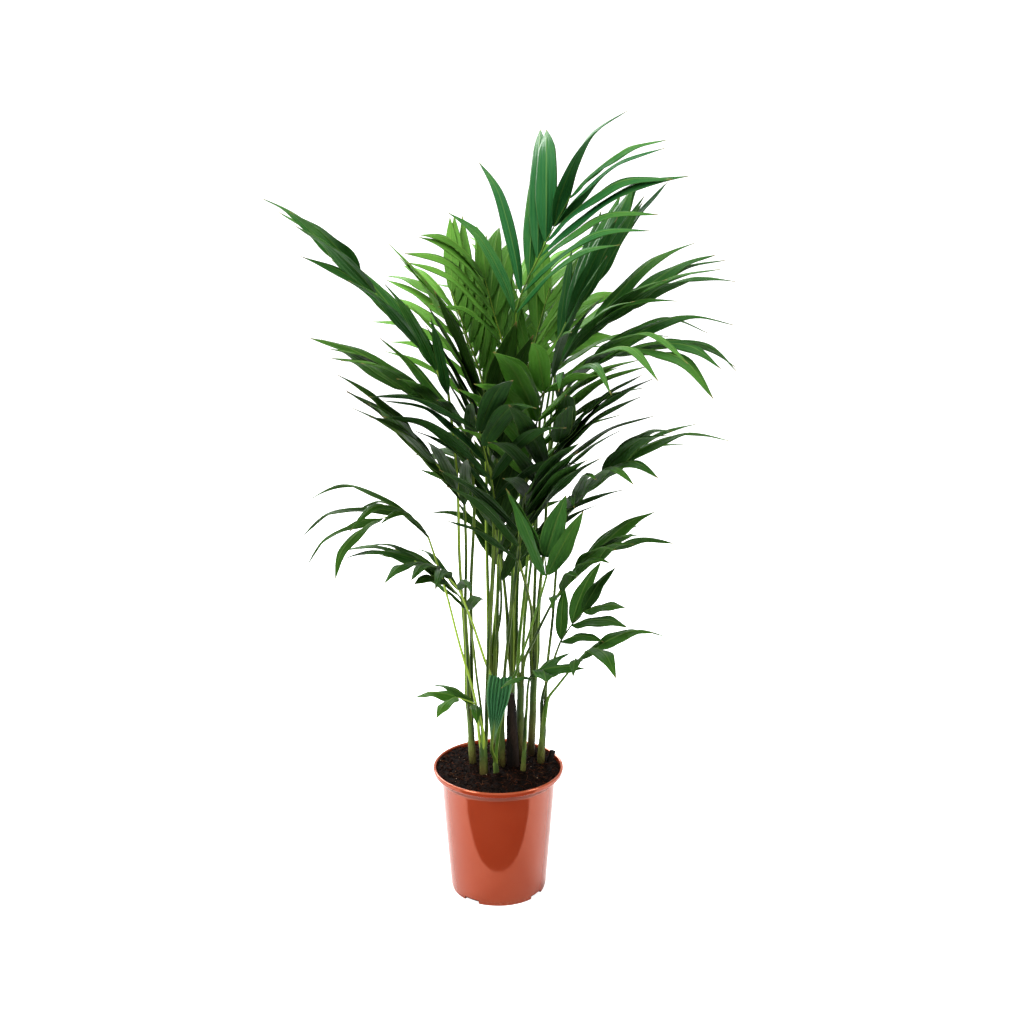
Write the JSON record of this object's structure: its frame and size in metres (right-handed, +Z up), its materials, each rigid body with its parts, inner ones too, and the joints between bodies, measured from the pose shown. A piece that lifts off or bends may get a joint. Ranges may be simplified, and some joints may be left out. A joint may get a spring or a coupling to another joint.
{
  "type": "potted palm",
  "caption": "Bushy feather palm of young shoots with arching leaves, growing in compost in a tapered nursery pot with a turned-out rim and drainage notches.",
  "frame": {"origin": "centre of the pot's flat underside, where it stands", "axes": "+Z up along the pot's axis to the top leaves, -Y towards the viewer's side, +X to the viewer's right"},
  "size_m": [0.6254, 0.5757, 1.1172],
  "materials": {
    "pot": "satin terracotta-coloured moulded plastic",
    "compost": "moist dark peat compost with bark fibre",
    "shoot": "smooth pale green sheathed shoots",
    "leaf": "satin green leaves with lighter midribs",
    "dead": "dry brown sheath and cut stub"
  },
  "bodies": {
    "root": {"nursery_pot": "pot", "palm_a_shoot": "shoot", "palm_b_shoot": "shoot", "palm_c_shoot": "shoot", "palm_d_shoot": "shoot", "palm_e_shoot": "shoot", "palm_f_shoot": "shoot", "palm_g_shoot": "shoot", "palm_h_shoot": "shoot", "palm_i_shoot": "shoot", "palm_j_shoot": "shoot", "dead_leaf_sheath": "dead", "cut_stub": "dead", "compost": "compost", "palm_e_leaf_crown_right": "leaf", "palm_g_leaf_broad_right": "leaf", "palm_c_leaf_crown_left": "leaf", "palm_a_leaf_far_left": "leaf", "palm_g_leaf_arching_right": "leaf", "palm_f_leaf_upper_right": "leaf", "palm_c_leaf_upright_left": "leaf", "palm_e_leaf_upright_back": "leaf", "palm_a_leaf_middle_left": "leaf", "palm_a_leaf_inner_left": "leaf", "palm_b_leaf_low_left": "leaf", "palm_d_leaf_low_left_front": "leaf", "palm_b_leaf_low_left_small": "leaf", "palm_b_leaf_lowest_left": "leaf", "palm_h_leaf_lowest_right": "leaf", "palm_h_leaf_low_right": "leaf", "palm_i_leaf_front_fork": "leaf", "palm_f_leaf_front_low_right": "leaf", "palm_h_leaf_middle_right": "leaf", "palm_d_leaf_front_centre": "leaf", "palm_b_leaf_front_hanging": "leaf", "palm_f_leaf_inner_right": "leaf", "palm_g_leaf_inner_front": "leaf", "palm_c_leaf_inner_core": "leaf", "palm_e_leaf_back_left": "leaf", "palm_e_leaf_back_centre": "leaf", "palm_g_leaf_back_right": "leaf", "palm_c_leaf_back_low": "leaf", "palm_j_leaf_lowest_front": "leaf", "palm_i_leaf_young_forked": "leaf", "palm_c_leaf_low_core": "leaf", "palm_e_leaf_low_back": "leaf"}
  },
  "joints": []
}
